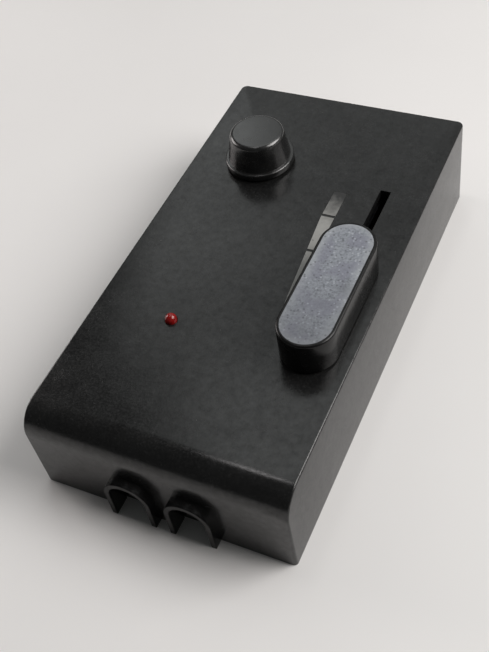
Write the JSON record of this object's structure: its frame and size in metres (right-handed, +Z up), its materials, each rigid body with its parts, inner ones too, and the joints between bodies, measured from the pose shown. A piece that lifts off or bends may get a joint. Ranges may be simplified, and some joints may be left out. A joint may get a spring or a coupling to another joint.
{
  "type": "brake controller unit",
  "caption": "Dash-top electric brake controller box with a gain knob, a sliding manual override, a status lamp and two cable hoods.",
  "frame": {"origin": "centre of the case's underside, on the surface it rests on, with the cable hoods left out", "axes": "+X to the slider's side, +Y along the case from the cable hoods to the back, which is the way the slider is pushed, +Z up out of the face with the controls"},
  "size_m": [0.067, 0.1295, 0.0366],
  "materials": {
    "case_plastic": "semi-gloss black moulded ABS with a fine texture",
    "knob_plastic": "smooth black moulded plastic",
    "cap_grey": "grainy light grey pad",
    "print_grey": "worn light grey print",
    "black_steel": "black oxide steel",
    "zinc_steel": "bright zinc plate",
    "plated_steel": "nickel-plated sheet steel",
    "spring_steel": "drawn spring wire",
    "contact_brass": "spring brass",
    "tinned_wire": "tinned",
    "bare_aluminium": "extruded, bare",
    "copper_strap": "bent resistance strap",
    "circuit_board": "green solder mask over glass fibre",
    "track_board": "brown phenolic paper",
    "white_nylon": "natural nylon",
    "black_nylon": "black nylon",
    "red_lens": "tinted diffused epoxy",
    "pad_rubber": "silicone thermal pad",
    "chip_epoxy": "black moulding compound",
    "capacitor_sleeve": "dark blue shrink sleeve",
    "resistor_coat": "tan lacquer",
    "ceramic_orange": "dipped ceramic",
    "terminal_green": "green nylon"
  },
  "bodies": {
    "housing": {"top_cover": "case_plastic", "bottom_cover": "case_plastic", "cover_screws": "black_steel", "scale_marking": "print_grey", "main_board": "circuit_board", "board_screws": "zinc_steel", "gain_pot_case": "plated_steel", "gain_pot_wafer": "track_board", "gain_pot_bushing": "zinc_steel", "gain_pot_washer": "zinc_steel", "gain_pot_nut": "zinc_steel", "gain_pot_pins": "tinned_wire", "slide_pot_frame": "black_steel", "slide_pot_track": "track_board", "slide_pot_pins": "tinned_wire", "slide_pot_screws": "zinc_steel", "guide_rod": "zinc_steel", "return_spring": "spring_steel", "lamp_lens": "red_lens", "lamp_leads": "tinned_wire", "lamp_spacer": "black_nylon", "heat_sink": "bare_aluminium", "thermal_pads": "pad_rubber", "transistor_tabs": "tinned_wire", "transistor_bodies": "chip_epoxy", "transistor_screws": "zinc_steel", "filter_capacitors": "capacitor_sleeve", "control_chip": "chip_epoxy", "chip_pins": "tinned_wire", "current_shunt": "copper_strap", "flyback_diode": "chip_epoxy", "voltage_regulator": "chip_epoxy", "resistors": "resistor_coat", "disc_capacitors": "ceramic_orange", "terminal_blocks": "terminal_green", "terminal_screws": "zinc_steel"},
    "gain_control": {"gain_knob": "knob_plastic", "gain_pot_shaft": "zinc_steel", "gain_pot_wiper": "contact_brass"},
    "override_slider": {"slider_cap": "knob_plastic", "cap_inlay": "cap_grey", "slide_carriage": "white_nylon", "slide_wiper": "contact_brass"}
  },
  "joints": [
    {"name": "gain_turn", "type": "hinge", "parent": "housing", "child": "gain_control", "pos_m": [-0.0148, 0.0337, 0.0265], "axis": [0, 0, 1], "range_deg": [-150, 150]},
    {"name": "override_slide", "type": "slide", "parent": "housing", "child": "override_slider", "axis": [0, 1, 0], "range_m": [0, 0.04], "stiffness_N_per_m": 25, "springref_m": -0.02, "deforming": ["return_spring"]}
  ]
}
